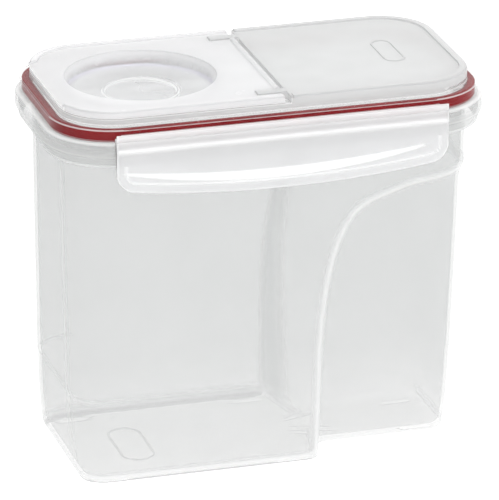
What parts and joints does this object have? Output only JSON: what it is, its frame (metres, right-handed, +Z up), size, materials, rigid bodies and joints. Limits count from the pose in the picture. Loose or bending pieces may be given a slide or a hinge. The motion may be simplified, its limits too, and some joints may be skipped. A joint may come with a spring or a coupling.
{
  "type": "dry food canister",
  "caption": "Tall rounded-box food canister in milky plastic with a hand grip at one end, a gasketed lid, long side latches and a flip-top pour cap.",
  "frame": {"origin": "centre of the footprint on the table plane, under the corner pads", "axes": "+Z up, +X along the length towards the hand grip (the pour end is at -X), +Y towards the back latch"},
  "size_m": [0.2466, 0.1422, 0.219],
  "materials": {
    "body_plastic": "milky translucent natural polypropylene, satin inside and glossy outside",
    "lid_plastic": "frosted clear polypropylene, satin top",
    "latch_plastic": "clear polypropylene, glossy",
    "red_seal": "dark red soft seal, satin",
    "pale_seal": "pale translucent soft seal, satin"
  },
  "bodies": {
    "container": {"container_body": "body_plastic"},
    "lid": {"lid_panel": "lid_plastic", "lid_gasket": "red_seal"},
    "pour_cap": {"flip_cap": "lid_plastic", "pour_seal": "pale_seal"},
    "front_clip": {"front_latch": "latch_plastic"},
    "back_clip": {"back_latch": "latch_plastic"}
  },
  "joints": [
    {"name": "lid_lift", "type": "slide", "parent": "container", "child": "lid", "axis": [0, 0, 1], "range_m": [0, 0.05]},
    {"name": "front_latch_hinge", "type": "hinge", "parent": "lid", "child": "front_clip", "pos_m": [0, -0.06705, 0.2075], "axis": [-1, 0, 0], "range_deg": [0, 105]},
    {"name": "back_latch_hinge", "type": "hinge", "parent": "lid", "child": "back_clip", "pos_m": [0, 0.06705, 0.2075], "axis": [1, 0, 0], "range_deg": [0, 105]},
    {"name": "flip_cap_hinge", "type": "hinge", "parent": "lid", "child": "pour_cap", "pos_m": [0.0036, 0, 0.2166], "axis": [0, 1, 0], "range_deg": [0, 110]}
  ]
}
